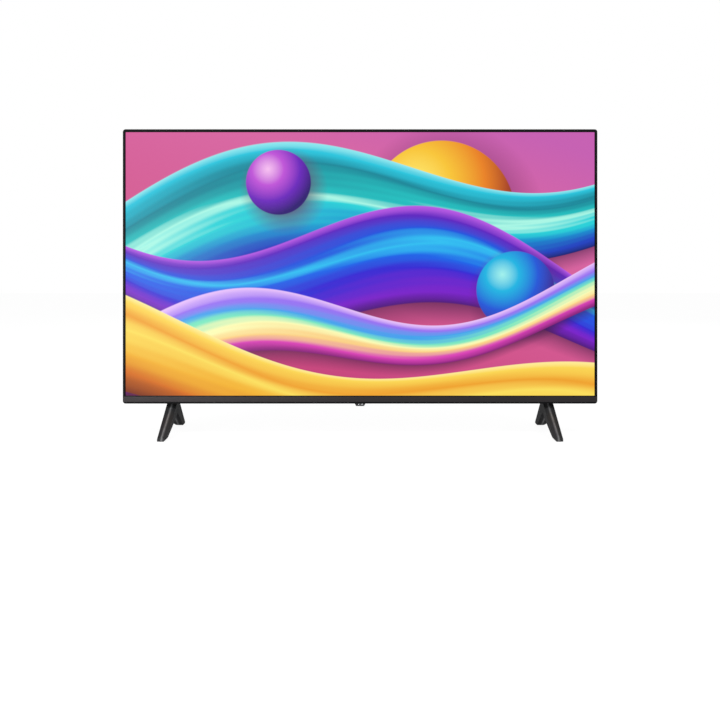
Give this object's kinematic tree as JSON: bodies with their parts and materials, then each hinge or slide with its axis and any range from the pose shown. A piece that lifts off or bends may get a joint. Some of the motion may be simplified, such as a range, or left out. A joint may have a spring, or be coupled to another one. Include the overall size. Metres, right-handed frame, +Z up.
{
  "type": "flat screen tv",
  "caption": "Flat screen television with a slim black frame, a grey lower strip and splayed V-shaped feet, with a wall mount pattern and sockets at the back.",
  "frame": {"origin": "on the floor under the middle of the set", "axes": "+Z up, the screen faces -Y, +X to the right as seen from in front of the screen"},
  "size_m": [0.953, 0.19, 0.6155],
  "materials": {
    "bezel_black": "satin moulded plastic",
    "trim_grey": "satin painted strip",
    "panel_glass": "anti-glare polarizer over glass",
    "inner_plastic": "black polycarbonate",
    "film_clear": "clear optical film",
    "white_plastic": "white diffusing plastic",
    "board_green": "solder mask on fibreglass",
    "board_tan": "bare paper laminate",
    "board_white": "white solder mask",
    "flex_amber": "polyimide film",
    "lens_clear": "clear moulded lens",
    "plated_steel": "zinc-plated steel",
    "black_screw": "blackened steel",
    "cover_black": "spark-textured plastic",
    "foot_black": "satin moulded plastic",
    "tab_gloss": "polished black plastic",
    "rubber_black": "matt rubber",
    "chip_black": "moulded epoxy",
    "sink_aluminium": "extruded aluminium",
    "antenna_brass": "nickel-flashed brass",
    "ribbon_white": "white plastic",
    "ferrite_dark": "ferrite core",
    "capacitor_sleeve": "shrink sleeve",
    "harness_red": "vinyl wire cover",
    "cone_paper": "pressed paper"
  },
  "bodies": {
    "root": {"front_bezel": "bezel_black", "bottom_trim": "trim_grey", "lcd_panel": "panel_glass", "panel_gasket": "rubber_black", "middle_frame": "inner_plastic", "brightness_film": "film_clear", "prism_film": "film_clear", "diffuser_film": "film_clear", "diffuser_plate": "white_plastic", "source_boards": "board_green", "driver_flexes": "flex_amber", "rear_chassis": "plated_steel", "led_bars": "board_white", "led_lenses": "lens_clear", "reflector_sheet": "white_plastic", "diffuser_posts": "white_plastic", "rear_cover": "cover_black", "rear_cover_screws": "black_screw", "wall_mount_posts": "plated_steel", "right_foot": "foot_black", "left_foot": "foot_black", "foot_pads": "rubber_black", "foot_screws": "black_screw", "left_foot_bracket": "plated_steel", "right_foot_bracket": "plated_steel", "bracket_screws": "plated_steel", "sensor_tab": "tab_gloss", "sensor_board": "board_green", "infrared_receiver": "chip_black", "light_pipe": "lens_clear", "key_switch": "chip_black", "main_board": "board_green", "power_board": "board_tan", "board_screws": "plated_steel", "processor": "chip_black", "heat_sink": "sink_aluminium", "memory_chips": "chip_black", "tuner_can": "plated_steel", "antenna_socket": "antenna_brass", "video_sockets": "plated_steel", "data_sockets": "plated_steel", "network_socket": "plated_steel", "audio_jack": "chip_black", "panel_cable": "ribbon_white", "transformers": "ferrite_dark", "capacitors": "capacitor_sleeve", "power_heat_sinks": "sink_aluminium", "mains_inlet": "chip_black", "board_connectors": "ribbon_white", "power_harness": "harness_red", "speaker_pads": "rubber_black", "speaker_box_left": "cover_black", "speaker_box_right": "cover_black", "speaker_driver_left": "plated_steel", "speaker_driver_right": "plated_steel"},
    "power_key": {"power_key": "tab_gloss", "switch_plunger": "chip_black"},
    "left_cone": {"speaker_cone_left": "cone_paper"},
    "right_cone": {"speaker_cone_right": "cone_paper"}
  },
  "joints": [
    {"name": "power_key_press", "type": "slide", "parent": "root", "child": "power_key", "axis": [0, 0, 1], "range_m": [0, 0.0006], "stiffness_N_per_m": 1500},
    {"name": "left_cone_move", "type": "slide", "parent": "root", "child": "left_cone", "axis": [0, 0, 1], "range_m": [-0.001, 0.001], "stiffness_N_per_m": 1200},
    {"name": "right_cone_move", "type": "slide", "parent": "root", "child": "right_cone", "axis": [0, 0, 1], "range_m": [-0.001, 0.001], "stiffness_N_per_m": 1200}
  ]
}
